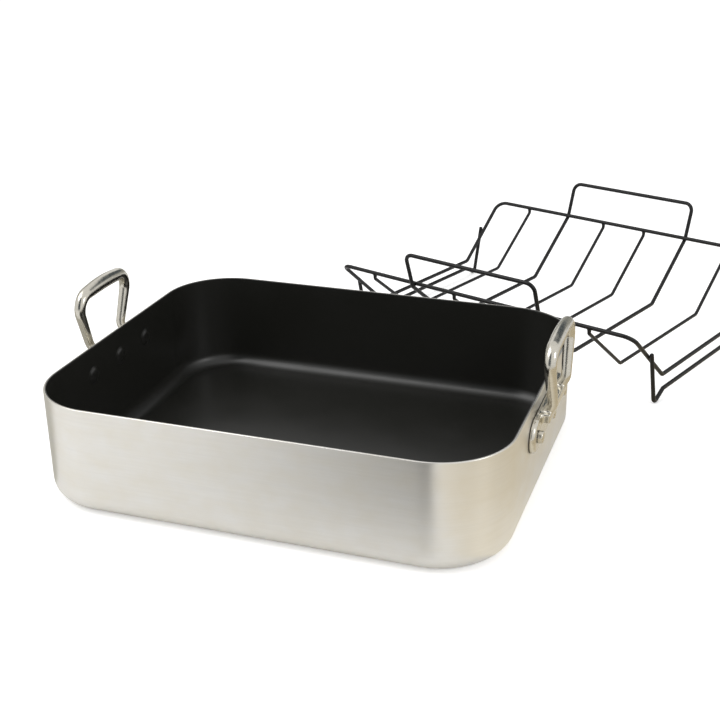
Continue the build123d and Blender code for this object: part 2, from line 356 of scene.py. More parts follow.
class HandleShape:
    """The casting of one handle as a distance, with the wall's outer face at X = 0 and the row at Z = 0."""
    line_step = 0.0003      # between the centre line's points
    stride = 10             # from one of these to the next that the coarse search looks at
    batch = 100000          # points whose nearest one is sought at once, which keeps memory low
    back = -0.0003          # the casting's back, a little inside the wall, so that the joint is clean
    web_blend = 0.003       # how far the web between the lobes flows into them
    probe = 0.00002         # step that measures the distance's slope
    furthest = 0.0006       # longest move of a point at once
    rounds = 4              # of evening out and fitting
    least_steep = 1e-6      # keeps a fitting move sound where the distance hardly changes
    tiny = 1e-9             # keeps a division sound

    def __init__(self, size, rivet_spacing):
        self.size = size
        self.spacing = rivet_spacing
        half = [(point[0], point[2] / 2, point[1]) for point in (size.root, size.knee, size.top)]
        peak = (size.top[0], 0, size.top[1] + size.arch)
        corners = [(x, -y, z) for x, y, z in half] + [peak] + half[::-1]
        radii = [size.knee_bend, size.bend, size.arch_bend, size.bend, size.knee_bend]
        line = np.array([tuple(p) for p in rounded_line(corners, radii, self.line_step)])
        along = np.gradient(line, axis=0)
        along /= np.linalg.norm(along, axis=1)[:, None]
        out = np.array([1.0, 0, 0]) - along * along[:, :1]
        out /= np.linalg.norm(out, axis=1)[:, None]
        self.line, self.along, self.out, self.across = line, along, out, np.cross(along, out)
        climb = np.clip((line[:, 2] - size.knee[1]) / (size.top[1] - size.knee[1]), 0, 1)
        swell = climb ** 4 * np.cos(np.pi * line[:, 1] / size.top[2])
        self.half_width = (size.knee_width + (size.corner_width - size.knee_width) * climb
                           + (size.bar_width - size.corner_width) * swell) / 2
        self.half_depth = (size.knee_depth + (size.corner_depth - size.knee_depth) * climb
                           + (size.bar_depth - size.corner_depth) * swell) / 2

    def nearest(self, points):
        """The nearest point of the centre line, found coarsely and then finely."""
        coarse = self.line[::self.stride]
        best = np.zeros(len(points), int)
        for start in range(0, len(points), self.batch):
            part = points[start:start + self.batch]
            far = (part ** 2).sum(1)[:, None] - 2 * part @ coarse.T + (coarse ** 2).sum(1)[None, :]
            best[start:start + self.batch] = far.argmin(1) * self.stride
        beside = np.arange(-self.stride, self.stride + 1)
        tries = np.clip(best[:, None] + beside[None, :], 0, len(self.line) - 1)
        far = ((self.line[tries] - points[:, None, :]) ** 2).sum(2)
        return tries[np.arange(len(points)), far.argmin(1)]

    def loop_distance(self, points, at):
        """Distance to the loop's oval section, near its centre line's points at."""
        arm = points - self.line[at]
        slip = (arm * self.along[at]).sum(1)
        inner = (at > 0) & (at < len(self.line) - 1)
        slip = np.where(inner, 0, slip)
        a = (arm * self.out[at]).sum(1) / self.half_depth[at]
        b = (arm * self.across[at]).sum(1) / self.half_width[at]
        c = slip / self.half_width[at]
        reach = np.sqrt(a * a + b * b + c * c) + self.tiny
        slope = np.sqrt((a / self.half_depth[at]) ** 2 + (b / self.half_width[at]) ** 2
                        + (c / self.half_width[at]) ** 2) / reach
        return (reach - 1) / (slope + self.tiny)

    def distance(self, points, at):
        """Distance to the whole casting, whose nearest points of the centre line are at."""
        size = self.size
        flat = points[:, 1:]
        out = np.abs(flat - [0, size.waist / 2]) - [self.spacing, size.lobe - size.waist / 2]
        web = np.linalg.norm(np.maximum(out, 0), axis=1) + np.minimum(out.max(1), 0)
        lobes = np.hypot(np.abs(flat[:, 0]) - self.spacing, flat[:, 1]) - size.lobe
        outline = soft_union(web, lobes, self.web_blend)
        plate = np.maximum(rounded_edge(outline, points[:, 0] - size.plate, size.plate_edge),
                           rounded_edge(outline, self.back - points[:, 0], size.back_edge))
        ledge = block_distance(points, (self.back, -size.ledge_length / 2, size.lobe - size.ledge_height),
                               (size.ledge_depth, size.ledge_length / 2, size.lobe), size.ledge_edge)
        base = soft_union(plate, ledge, size.ledge_blend)
        return soft_union(base, self.loop_distance(points, at), size.blend)

    def surface(self):
        """Points and faces of the casting's skin: one point in each grid cell that it crosses, fitted."""
        size = self.size
        step = size.grid
        margin = 3 * step
        half = self.spacing + size.lobe
        out = max(size.knee[0] + size.knee_depth / 2, size.top[0] + size.bar_depth / 2, size.ledge_depth)
        low = np.array([self.back, -half, -size.lobe]) - margin
        high = np.array([out, half, size.top[1] + size.arch + size.bar_width / 2]) + margin
        axes = [np.arange(a, b + step, step) for a, b in zip(low, high)]
        grid = np.stack(np.meshgrid(*axes, indexing="ij"), -1)
        shape = grid.shape[:3]
        grid = grid.reshape(-1, 3)
        inside = (self.distance(grid, self.nearest(grid)) < 0).reshape(shape)
        corners = sum(inside[x:shape[0] - 1 + x, y:shape[1] - 1 + y, z:shape[2] - 1 + z].astype(int)
                      for x in (0, 1) for y in (0, 1) for z in (0, 1))
        crossed = (corners > 0) & (corners < 8)
        number = np.full(crossed.shape, -1)
        number[crossed] = np.arange(crossed.sum())
        points = low + (np.argwhere(crossed) + 0.5) * step
        quads = []
        for axis, (one, two) in enumerate(((1, 2), (2, 0), (0, 1))):
            ahead = np.roll(inside, -1, axis)
            for start, end, flip in ((inside, ahead, False), (ahead, inside, True)):
                at = np.argwhere(start & ~end)
                ring = []
                for d_one, d_two in ((0, 0), (-1, 0), (-1, -1), (0, -1)):
                    cell = at.copy()
                    cell[:, one] += d_one
                    cell[:, two] += d_two
                    ring.append(number[tuple(cell.T)])
                quads.append(np.stack(ring[::-1] if flip else ring, 1))
        quads = np.concatenate(quads)
        for _ in range(self.rounds):
            points = self.fitted(self.relaxed(points, quads))
        return self.fitted(points), quads

    def fitted(self, points):
        """Moves points onto the surface, along the distance's slope."""
        at = self.nearest(points)
        value = self.distance(points, at)
        ahead = [self.distance(points + self.probe * step, at) for step in np.eye(3)]
        slope = (np.stack(ahead, 1) - value[:, None]) / self.probe
        steep = (slope ** 2).sum(1) + self.least_steep
        move = -slope * (value / steep)[:, None]
        size = np.linalg.norm(move, axis=1)
        return points + move * np.minimum(1, self.furthest / (size + self.tiny))[:, None]

    @staticmethod
    def relaxed(points, quads):
        """Moves each point halfway to the mean of its neighbours, so that the faces even out."""
        total = np.zeros_like(points)
        count = np.zeros(len(points))
        for a, b in ((0, 1), (1, 2), (2, 3), (3, 0)):
            for p, q in ((a, b), (b, a)):
                np.add.at(total, quads[:, p], points[quads[:, q]])
                np.add.at(count, quads[:, p], 1)
        return points + 0.5 * (total / np.maximum(count, 1)[:, None] - points)


# Geometry Nodes

def add(tree, kind, inputs=(), **settings):
    """Adds a node with its settings, and gives its inputs values or links. A node stands for its first
    output."""
    made = tree.nodes.new(kind)
    for key, value in settings.items():
        setattr(made, key, value)
    for key, value in dict(inputs).items():
        if isinstance(value, bpy.types.Node):
            value = value.outputs[0]
        if isinstance(value, bpy.types.NodeSocket):
            tree.links.new(value, made.inputs[key])
        else:
            made.inputs[key].default_value = value
    return made


def new_tree(name, sockets):
    """A Geometry Nodes tree with a geometry in and out and named inputs. Returns it and its inputs."""
    tree = bpy.data.node_groups.new(name, "GeometryNodeTree")
    tree.interface.new_socket("Geometry", in_out="INPUT", socket_type="NodeSocketGeometry")
    for label, kind in sockets:
        tree.interface.new_socket(label, in_out="INPUT", socket_type=kind)
    tree.interface.new_socket("Geometry", in_out="OUTPUT", socket_type="NodeSocketGeometry")
    return tree, add(tree, "NodeGroupInput").outputs


def close_tree(tree, geometry, material):
    """Ends a tree: smooth shading, real geometry instead of instances, and the material."""
    smooth = add(tree, "GeometryNodeSetShadeSmooth", {"Geometry": geometry})
    real = add(tree, "GeometryNodeRealizeInstances", {"Geometry": smooth})
    coated = add(tree, "GeometryNodeSetMaterial", {"Geometry": real, "Material": material})
    add(tree, "NodeGroupOutput", {"Geometry": coated})


def round_stock_tree():
    """Round stock along lines: points carry their bend radius and their girth, the stock's radius there."""
    tree, given = new_tree("round_stock", (
        ("Sides", "NodeSocketInt"), ("Bend steps", "NodeSocketInt"), ("Material", "NodeSocketMaterial")))
    line = add(tree, "GeometryNodeMeshToCurve", {"Mesh": given["Geometry"]})
    bend = add(tree, "GeometryNodeInputNamedAttribute", {"Name": "bend"}, data_type="FLOAT")
    girth = add(tree, "GeometryNodeInputNamedAttribute", {"Name": "girth"}, data_type="FLOAT")
    rounded = add(tree, "GeometryNodeFilletCurve", {
        "Curve": line, "Count": given["Bend steps"], "Radius": bend}, mode="POLY")
    section = add(tree, "GeometryNodeCurvePrimitiveCircle", {"Resolution": given["Sides"], "Radius": 1.0})
    skin = add(tree, "GeometryNodeCurveToMesh", {
        "Curve": rounded, "Profile Curve": section, "Scale": girth, "Fill Caps": True})
    clean = add(tree, "GeometryNodeMergeByDistance", {"Geometry": skin, "Distance": 0.01 * MM})
    close_tree(tree, clean, given["Material"])
    return tree


def weld_bead_tree(segments=20, rings=12, lumpiness=1.6, lump_share=0.6, girth_share=0.72):
    """A small lumpy bead on each point, turned to lie along the joint that the point's attribute gives."""
    tree, given = new_tree("weld_beads", (
        ("Half length", "NodeSocketFloat"), ("Material", "NodeSocketMaterial")))
    ball = add(tree, "GeometryNodeMeshUVSphere", {"Segments": segments, "Rings": rings, "Radius": 1.0})
    place = add(tree, "GeometryNodeInputPosition")
    lumps = add(tree, "ShaderNodeTexNoise", {
        "Vector": place, "Scale": lumpiness, "Detail": 2.0, "Roughness": 0.5}, noise_dimensions="3D")
    lift = add(tree, "ShaderNodeMath", {0: lumps, 1: 0.5}, operation="SUBTRACT")
    out = add(tree, "ShaderNodeVectorMath", {0: place, "Scale": lift}, operation="SCALE")
    lump = add(tree, "ShaderNodeVectorMath", {0: out, "Scale": lump_share}, operation="SCALE")
    bead = add(tree, "GeometryNodeSetPosition", {"Geometry": ball, "Offset": lump})
    turn = add(tree, "GeometryNodeInputNamedAttribute", {"Name": "turn"}, data_type="FLOAT_VECTOR")
    oval = add(tree, "ShaderNodeCombineXYZ", {"X": girth_share, "Y": girth_share, "Z": 1.0})
    size = add(tree, "ShaderNodeVectorMath", {0: oval, "Scale": given["Half length"]}, operation="SCALE")
    beads = add(tree, "GeometryNodeInstanceOnPoints", {
        "Points": given["Geometry"], "Instance": bead, "Rotation": turn, "Scale": size})
    close_tree(tree, beads, given["Material"])
    return tree


def grown(name, seed, tree, values):
    """A plain mesh from a seed object and a tree with its input values. The seed is removed."""
    modifier = seed.modifiers.new(name, "NODES")
    modifier.node_group = tree
    for item in tree.interface.items_tree:
        if item.in_out == "INPUT" and item.name in values:
            modifier[item.identifier] = values[item.name]
    seed.update_tag()
    bpy.context.view_layer.update()
    depsgraph = bpy.context.evaluated_depsgraph_get()
    mesh = bpy.data.meshes.new_from_object(seed.evaluated_get(depsgraph), depsgraph=depsgraph)
    if not mesh.polygons:
        raise RuntimeError("no faces came out of the nodes for " + name)
    seed.modifiers.remove(modifier)
    bpy.data.objects.remove(seed)
    mesh.name = name
    piece = bpy.data.objects.new(name, mesh)
    bpy.context.scene.collection.objects.link(piece)
    return piece


def round_stock(name, line, closed, material, sides=20, bend_steps=10):
    """One piece of round stock along a line of (point, bend, girth)."""
    points, bends, girths = zip(*line)
    count = len(points)
    edges = [(k, (k + 1) % count) for k in range(count if closed else count - 1)]
    seed = mesh_object("seed", points, (), edges)
    for label, values in (("bend", bends), ("girth", girths)):
        seed.data.attributes.new(label, "FLOAT", "POINT").data.foreach_set("value", values)
    tree = bpy.data.node_groups.get("round_stock") or round_stock_tree()
    return grown(name, seed, tree, {"Sides": sides, "Bend steps": bend_steps, "Material": material})


# Materials

def new_material(name):
    """An empty material. Returns it and its tree."""
    material = bpy.data.materials.new(name)
    material.use_nodes = True
    material.node_tree.nodes.clear()
    return material, material.node_tree


def pattern(tree, spans_mm, detail=2.0, roughness=0.5):
    """Noise whose marks are about spans_mm long along the piece's X, Y and Z."""
    place = add(tree, "ShaderNodeTexCoord").outputs["Object"]
    scaled = add(tree, "ShaderNodeMapping", {"Vector": place, "Scale": [1000 / s for s in spans_mm]})
    noise = add(tree, "ShaderNodeTexNoise", {
        "Vector": scaled, "Scale": 1.0, "Detail": detail, "Roughness": roughness})
    return noise


def shaded(colour_value, factor):
    """A linear colour made darker or lighter by a factor."""
    return [min(1.0, v * factor) for v in colour_value[:3]] + [1.0]


def surface(tree, tone, gloss, bumps, more=(), stain_and_shade=None):
    """Ends a material's tree in its shader. tone is a pattern, a colour and the two factors that shade it
    between. gloss is a pattern, a roughness and how far it goes down and up. bumps are patterns and their
    depths in millimetres, each over the last. more is what else the shader takes. stain_and_shade is laid
    over the colour, as real stains on the brushed steel and as painted shade at the castings' and rivets'
    joints: its share at each point, its colour and, unless that is None, its roughness."""
    marks, colour_value, dark, light = tone
    marks = add(tree, "ShaderNodeMapRange", {"Value": marks, **NOISE_RANGE})
    hue = add(tree, "ShaderNodeMix", {
        0: marks, 6: shaded(colour_value, dark), 7: shaded(colour_value, light)}, data_type="RGBA").outputs[2]
    wear, roughness, down, up = gloss
    rough = add(tree, "ShaderNodeMapRange", {
        "Value": wear, **NOISE_RANGE, "To Min": roughness - down, "To Max": roughness + up})
    if stain_and_shade:
        cover, stain_and_shade_colour, stain_and_shade_roughness = stain_and_shade
        hue = add(tree, "ShaderNodeMix", {0: cover, 6: hue, 7: stain_and_shade_colour}, data_type="RGBA").outputs[2]
        if stain_and_shade_roughness is not None:
            rough = add(tree, "ShaderNodeMix", {0: cover, 2: rough, 3: stain_and_shade_roughness},
                        data_type="FLOAT")
    relief = {}
    for height, depth in bumps:
        laid = add(tree, "ShaderNodeBump", {"Height": height, "Distance": depth * MM, **relief})
        relief = {"Normal": laid}
    shader = add(tree, "ShaderNodeBsdfPrincipled", {
        "Base Color": hue, "Roughness": rough, **relief, **dict(more)})
    add(tree, "ShaderNodeOutputMaterial", {"Surface": shader})


def near_middle(tree, whole, none):
    """1 up to the distance whole from the middle of the pan along X, and 0 from the distance none on."""
    place = add(tree, "ShaderNodeTexCoord").outputs["Object"]
    along = add(tree, "ShaderNodeSeparateXYZ", {0: place}).outputs["X"]
    away = add(tree, "ShaderNodeMath", {0: along}, operation="ABSOLUTE")
    return add(tree, "ShaderNodeMapRange", {
        "Value": away, "From Min": whole, "From Max": none, "To Min": 1.0, "To Max": 0.0},
        interpolation_type="SMOOTHSTEP")


def brushed_steel(finish):
    """Stainless steel sheet, drawn and then brushed round the walls: satin, with fine level scratches that
    stretch every highlight upright, and faint waves from drawing."""
    material, tree = new_material("brushed_stainless_steel")
    # Real brush marks are under 0.1 mm apart. They are drawn at 0.35 and 0.5 mm, so that they show
    wall = pattern(tree, (40, 40, 0.35), 3.0, 0.6)
    under = pattern(tree, (60, 0.5, 60), 3.0, 0.6)
    wide = pattern(tree, (90, 90, 2.2))
    waves = pattern(tree, (130, 130, 90), 1.0)
    smudges = pattern(tree, (28, 28, 18), 3.0, 0.55)
    normal = add(tree, "ShaderNodeNewGeometry").outputs["Normal"]
    facing = add(tree, "ShaderNodeSeparateXYZ", {0: normal}).outputs["Z"]
    level = add(tree, "ShaderNodeMath", {0: facing, 1: facing}, operation="MULTIPLY")
    scratch = add(tree, "ShaderNodeMix", {0: level, 2: wall, 3: under}, data_type="FLOAT")
    streaks = add(tree, "ShaderNodeMix", {0: 0.5, 2: scratch, 3: wide}, data_type="FLOAT")
    worn = add(tree, "ShaderNodeMix", {0: 0.5, 2: streaks, 3: smudges}, data_type="FLOAT")
    handled = add(tree, "ShaderNodeMapRange", {
        "Value": smudges, **NOISE_RANGE, "To Min": 0.0, "To Max": 0.45})
    round_walls = add(tree, "ShaderNodeTangent", direction_type="RADIAL", axis="Z")
    surface(tree, (streaks, finish.steel, 0.955, 1.02), (worn, finish.steel_gloss, 0.05, 0.05),
            ((waves, 0.25), (scratch, 0.003)),
            {"Metallic": 1.0, "Anisotropic": 0.8, "Anisotropic Rotation": 0.25, "Tangent": round_walls},
            (handled, finish.steel_tinge, None))
    return material


def nonstick_coating(finish):
    """PTFE coating, sprayed and baked: near black and satin, with a fine orange peel."""
    material, tree = new_material("baked_nonstick_coating")
    # The real grains are about 0.1 mm wide. They are drawn at 0.5 mm, so that they show
    specks = pattern(tree, (0.5, 0.5, 0.5), 1.0)
    peel = pattern(tree, (1.1, 1.1, 1.1))
    drift = pattern(tree, (45, 45, 45))
    surface(tree, (specks, finish.coating, 0.85, 1.2), (drift, finish.coating_gloss, 0.03, 0.03),
            ((peel, 0.02),))
    return material


def cast_steel(finish):
    """Stainless steel casting, ground and polished by hand: mirror-like over a soft uneven surface, with
    painted shade, dark and rougher, along the narrow gap where it meets the wall."""
    material, tree = new_material("polished_cast_stainless_steel")
    wall_face = bpy.context.scene.roaster_pan.length / 2
    swell = pattern(tree, (14, 14, 14))
    dents = pattern(tree, (3.2, 3.2, 3.2))
    scuffs = pattern(tree, (7, 7, 1.2), 3.0, 0.6)
    # Painted shade: this mask darkens the colour and roughens it within about a millimetre of the wall, where
    # the gap's shade falls
    painted_joint_shade = near_middle(tree, wall_face + 0.4 * MM, wall_face + 1.0 * MM)
    surface(tree, (scuffs, finish.casting, 0.94, 1.03), (dents, finish.casting_gloss, 0.03, 0.06),
            ((swell, 0.25), (dents, 0.03)), {"Metallic": 1.0}, (painted_joint_shade, finish.painted_joint_shade, 0.6))
    return material


def rivet_steel(finish):
    """Stainless steel rivet, cold headed and then buffed: bright, with small marks of the hammering, and
    painted shade where the head sits on the plate."""
    material, tree = new_material("headed_stainless_rivet")
    scene = bpy.context.scene
    plate_face = scene.roaster_pan.length / 2 + scene.roaster_handle.plate
    marks = pattern(tree, (2.4, 2.4, 2.4))
    grain = pattern(tree, (0.6, 0.6, 0.6))
    # Painted shade: this mask darkens the head's colour within about half a millimetre of the plate
    painted_joint_shade = near_middle(tree, plate_face + 0.1 * MM, plate_face + 0.6 * MM)
    surface(tree, (marks, finish.rivet, 0.92, 1.04), (grain, finish.rivet_gloss, 0.05, 0.05),
            ((marks, 0.10), (grain, 0.01)), {"Metallic": 1.0}, (painted_joint_shade, finish.painted_joint_shade, None))
    return material


def wire_coating(finish):
    """Black non-stick coating, baked on steel wire: satin, a little uneven where it ran along the wire."""
    material, tree = new_material("baked_coating_on_wire")
    runs = pattern(tree, (9, 9, 9))
    peel = pattern(tree, (0.9, 0.9, 0.9))
    surface(tree, (runs, finish.wire, 0.8, 1.25), (runs, finish.wire_gloss, 0.05, 0.05),
            ((runs, 0.10), (peel, 0.02)), {"IOR": 1.36})
    return material


def material_of(maker):
    """The scene's material from a maker, made once."""
    made = MADE.get(maker.__name__)
    if made is None:
        made = MADE[maker.__name__] = maker(bpy.context.scene.roaster_finish)
    return made


# Operators

class ROASTER_OT_shell(bpy.types.Operator):
    """Makes the drawn steel shell of the pan"""
    bl_idname = "roaster.shell"
    bl_label = "Pan shell"

    def execute(self, context):
        pan = context.scene.roaster_pan
        wall, edge, bottom = pan.wall, pan.rim_edge, pan.bottom_radius + HOLD
        under_rim = pan.height - edge
        section = [(bottom, 0)] + bottom_turn(pan, 0)[::-1]
        section += [(0, bottom), (0, pan.height / 2), (0, under_rim - HOLD)]
        section += [(edge - x, under_rim + z) for x, z in quarter((0, 0), edge, 0, 5)]
        section += [(wall / 2, pan.height)]
        section += [(wall - edge - x, under_rim + z) for x, z in quarter((0, 0), edge, 1, 5)]
        section += [(wall, under_rim - HOLD), (wall, pan.height / 2), (wall, bottom)]
        section += bottom_turn(pan, wall) + [(bottom, wall)]
        points, faces = loft([pan_ring(pan, inset, z) for inset, z in section])
        piece = mesh_object("shell", points, faces)
        finish_piece(piece, "pan", "pan_metal", material_of(brushed_steel), "pan_shell")
        return {"FINISHED"}


class ROASTER_OT_lining(bpy.types.Operator):
    """Makes the black lining, with the coated heads of the rivets"""
    bl_idname = "roaster.lining"
    bl_label = "Non-stick lining"

    def execute(self, context):
        pan = context.scene.roaster_pan
        outer, inner = pan.wall + SLIT, pan.wall + pan.lining
        top, bottom = pan.height - pan.rim_edge, pan.bottom_radius + HOLD
        middle = Vector((pan.wall - pan.rim_edge, top))
        section = [(bottom, outer)] + bottom_turn(pan, outer)[::-1] + [(outer, top - HOLD)]
        section += quarter(middle, pan.rim_edge + SLIT, 0, 6)
        # Over the rim's inner edge the coating thins out to nothing
        thickness_shares = (0.12, 0.34, 0.55, 0.74, 0.88, 0.97, 1.0)
        for place, part in zip(quarter(middle, pan.rim_edge, 0, 6)[::-1], thickness_shares):
            x, z = Vector(place) + (Vector(place) - middle).normalized() * pan.lining * part
            section.append((x, min(z, pan.height - SLIT / 2)))
        section += [(inner, top - HOLD), (inner, pan.height / 2), (inner, bottom)]
        section += bottom_turn(pan, inner) + [(bottom, inner)]
        parts = [loft([pan_ring(pan, inset, z) for inset, z in section])]
        wide = pan.dome_radius + pan.lining
        dome_shares = ((1.26, -0.04), (1.17, 0.05), (1.09, 0.12), (1.02, 0.22), (0.94, 0.38), (0.83, 0.58),
                       (0.68, 0.78), (0.5, 0.90), (0.28, 0.975), (0.08, 1.0))
        profile = [(wide * r, pan.lining + pan.dome_height * h) for r, h in dome_shares]
        z = pan.height - pan.rivet_drop
        for side in (-1, 1):
            for k in (-1, 0, 1):
                place = (side * (pan.length / 2 - pan.wall), k * pan.rivet_spacing, z)
                parts.append(lathe(profile, place, (-side, 0, 0)))
        piece = mesh_object("lining", *joined(parts))
        finish_piece(piece, "pan", "nonstick_coating", material_of(nonstick_coating), "nonstick_lining")
        return {"FINISHED"}


class ROASTER_OT_handles(bpy.types.Operator):
    """Makes the two cast handles of the pan"""
    bl_idname = "roaster.handles"
    bl_label = "Cast handles"

    def execute(self, context):
        pan = context.scene.roaster_pan
        shape = HandleShape(context.scene.roaster_handle, pan.rivet_spacing)
        points, faces = shape.surface()
        place = np.array([pan.length / 2, 0, pan.height - pan.rivet_drop])
        for side, name in SIDES:
            at = (points + place) * [side, 1, 1]
            turned = faces if side > 0 else faces[:, ::-1]
            piece = mesh_object("casting_" + name, at.tolist(), turned.tolist())
            finish_piece(piece, "pan", "handle_metal", material_of(cast_steel), "handle_" + name)
        return {"FINISHED"}


class ROASTER_OT_rivets(bpy.types.Operator):
    """Makes the outer heads of the six rivets"""
    bl_idname = "roaster.rivets"
    bl_label = "Rivet heads"

    def execute(self, context):
        pan, handle = context.scene.roaster_pan, context.scene.roaster_handle
        base = pan.length / 2 + handle.plate
        steel = material_of(rivet_steel)
        head_shares = ((0.02, 1.0), (0.35, 0.985), (0.62, 0.955), (0.80, 0.91), (0.90, 0.86), (0.965, 0.78),
                       (0.995, 0.68), (1.0, 0.55), (1.0, 0.10), (1.0, -0.15))
        z = pan.height - pan.rivet_drop
        for side, name in SIDES:
            for k, place in RIVET_PLACES:
                line = [((side * (base + pan.head_height * h), k * pan.rivet_spacing, z), 0.0,
                         pan.head_radius * r) for r, h in head_shares]
                piece = round_stock("head_%s_%s" % (name, place), line, False, steel, sides=36)
                finish_piece(piece, "pan", "rivet_metal", steel, "rivet_%s_%s" % (name, place))
        return {"FINISHED"}


def crossing(point_a, angle_a, point_b, angle_b):
    """Where two lines of the rack's section cross, each given by a point and its angle from the level."""
    (ya, za), (yb, zb) = point_a, point_b
    ca, sa, cb, sb = math.cos(angle_a), math.sin(angle_a), math.cos(angle_b), math.sin(angle_b)
    run = ((yb - ya) * sb - (zb - za) * cb) / (ca * sb - sa * cb)
    return ya + run * ca, za + run * sa


def on_table(rack, point):
    """A point of the rack where the rack stands."""
    turned = Matrix.Rotation(rack.yaw, 3, "Z") @ Vector(point)
    return tuple(turned + Vector(rack.place))


def stock_line(rack, points, bends, girth, ends):
    """Line points for round stock, with the girths of its last points at both ends, as (distance, share)."""
    points = [Vector(p) for p in points]
    line = [(on_table(rack, p), bend, girth) for p, bend in zip(points, bends)]
    if not ends:
        return line
    ready = []
    for first, second in ((points[0], points[1]), (points[-1], points[-2])):
        way = (second - first).normalized()
        ready.append([(on_table(rack, first + way * far), 0.0, girth * part) for far, part in ends])
    return ready[0] + line[1:-1] + ready[1][::-1]


def bent_wire(name, node, xs, half, half_bends, girth, ends=()):
    """Makes a wire that is bent alike at the front and the back. Its back half is given as (y, z) and bends,
    lowest first. With two places along X it goes there at one and back at the other, and is closed."""
    rack = bpy.context.scene.roaster_rack
    coat = material_of(wire_coating)
    section = [(-y, z) for y, z in reversed(half)] + half
    points = [(xs[0], y, z) for y, z in section]
    bends = half_bends[::-1] + half_bends
    closed = len(xs) > 1
    if closed:
        points += [(xs[1], y, z) for y, z in reversed(section)]
        bends *= 2
    piece = round_stock(name, stock_line(rack, points, bends, girth, ends), closed, coat)
    finish_piece(piece, "rack", "rack_coating", coat, node)


class ROASTER_OT_rack_wires(bpy.types.Operator):
    """Bends the eight wires of the rack"""
    bl_idname = "roaster.rack_wires"
    bl_label = "Rack wires"

    def execute(self, context):
        rack = context.scene.roaster_rack
        thick, thin = rack.frame_wire / 2, rack.slat_wire / 2
        foot = (rack.flat_width / 2, rack.flat_height)
        rail = (rack.frame_width / 2, rack.rail_height)
        half_length, half_loop = rack.frame_length / 2, rack.loop_spacing / 2

        bent_wire("wire_frame", "perimeter_frame", (half_length, -half_length), [foot, rail],
                  [rack.slat_bend, rack.frame_corner], thick)

        top = (rail[0] + rack.handle_lean, rail[1] + rack.handle_rise)
        touch = rack.frame_wire
        slope = math.atan2(rail[1] - foot[1], rail[0] - foot[0]) - math.asin(touch / math.dist(foot, rail))
        rise = math.atan2(top[1] - rail[1], top[0] - rail[0]) + math.asin(touch / math.dist(top, rail))
        crook = crossing(foot, slope, top, rise)
        bent_wire("wire_handles", "handle_loop", (half_loop, -half_loop), [foot, crook, top],
                  [rack.slat_bend, touch, rack.handle_bend], thick)

        outer = half_length - rack.outer_gap
        inner = rack.inner_spacing / 2
        sunk_share, stub_bend_share = 0.6, 0.6
        half = [foot, (rail[0], rail[1] - rack.stub), (rail[0], rail[1] - thick * sunk_share)]
        stub_bend = rack.stub_bend * stub_bend_share
        # The stubs swell where they are welded under the rails: distance from the end, and girth
        flare = ((0.0, 1.5), (0.7 * MM, 1.32), (1.4 * MM, 1.12))
        for name, x in (("left_outer", -outer), ("left_inner", -inner), ("right_inner", inner),
                        ("right_outer", outer)):
            bent_wire("wire_slat_" + name, "slat_" + name, (x,), half, [rack.slat_bend, stub_bend, 0.0], thin,
                      flare)

        upright = math.pi / 2 - rack.leg_lean
        part = (rack.weld_height - foot[1]) / (rail[1] - foot[1])
        weld = (foot[0] + (rail[0] - foot[0]) * part, rack.weld_height)
        bend_z = thick + rack.foot_bend
        bend_y = crossing(weld, upright, (0, bend_z), 0)[0] - rack.foot_bend / math.cos(rack.leg_lean)
        inner_touch = (bend_y - rack.foot_bend * math.sin(rack.rise_angle),
                       bend_z - rack.foot_bend * math.cos(rack.rise_angle))
        leg_top = crossing(weld, upright, (0, rack.weld_height + rack.leg_overlap), 0)
        leg_foot = crossing(weld, upright, inner_touch, -rack.rise_angle)
        leg_in = crossing(inner_touch, -rack.rise_angle, (0, rack.run_height), 0)
        # The coating rounds the cut ends of the legs: distance from the end, and girth
        tip = ((0.0, 0.45), (0.15 * MM, 0.68), (0.5 * MM, 0.88), (1.1 * MM, 0.98), (1.8 * MM, 1.0))
        for side, name in SIDES[::-1]:
            bent_wire("wire_leg_" + name, "leg_wire_" + name, (side * (half_length + rack.frame_wire),),
                      [leg_in, leg_foot, leg_top], [rack.run_bend, rack.foot_bend, 0.0], thick, tip)
        return {"FINISHED"}


class ROASTER_OT_weld_beads(bpy.types.Operator):
    """Sets the beads of the rack's eight side welds"""
    bl_idname = "roaster.weld_beads"
    bl_label = "Weld beads"

    def execute(self, context):
        rack = context.scene.roaster_rack
        foot = Vector((0, rack.flat_width / 2, rack.flat_height))
        rail = Vector((0, rack.frame_width / 2, rack.rail_height))
        slope = (rail - foot).normalized()
        out = Vector((0, slope.z, -slope.y))
        half_wire = rack.frame_wire / 2
        on_slat = foot.lerp(rail, (rack.weld_height - foot.z) / (rail.z - foot.z))
        touch = rail + out * half_wire
        lean = Vector((0, math.sin(rack.leg_lean), math.cos(rack.leg_lean)))
        places = []
        for side in (-1, 1):
            leg_x = side * (rack.frame_length / 2 + half_wire)
            for end in (-1, 1):
                along = ((slope + lean) * Vector((1, end, 1))).normalized()
                places.append((Vector((leg_x, on_slat.y * end, on_slat.z)), along))
                middle = Vector((side * rack.loop_spacing / 2, touch.y * end, touch.z))
                places.append((middle, Vector((1, 0, 0))))
        seed = mesh_object("seed", [on_table(rack, p) for p, _ in places], ())
        turn = Matrix.Rotation(rack.yaw, 3, "Z")
        turns = [tuple((turn @ way).to_track_quat("Z", "Y").to_euler()) for _, way in places]
        attribute = seed.data.attributes.new("turn", "FLOAT_VECTOR", "POINT")
        attribute.data.foreach_set("vector", [v for each in turns for v in each])
        coat = material_of(wire_coating)
        tree = bpy.data.node_groups.get("weld_beads") or weld_bead_tree()
        piece = grown("weld_beads", seed, tree, {"Half length": rack.bead, "Material": coat})
        finish_piece(piece, "rack", "rack_coating", coat)
        return {"FINISHED"}


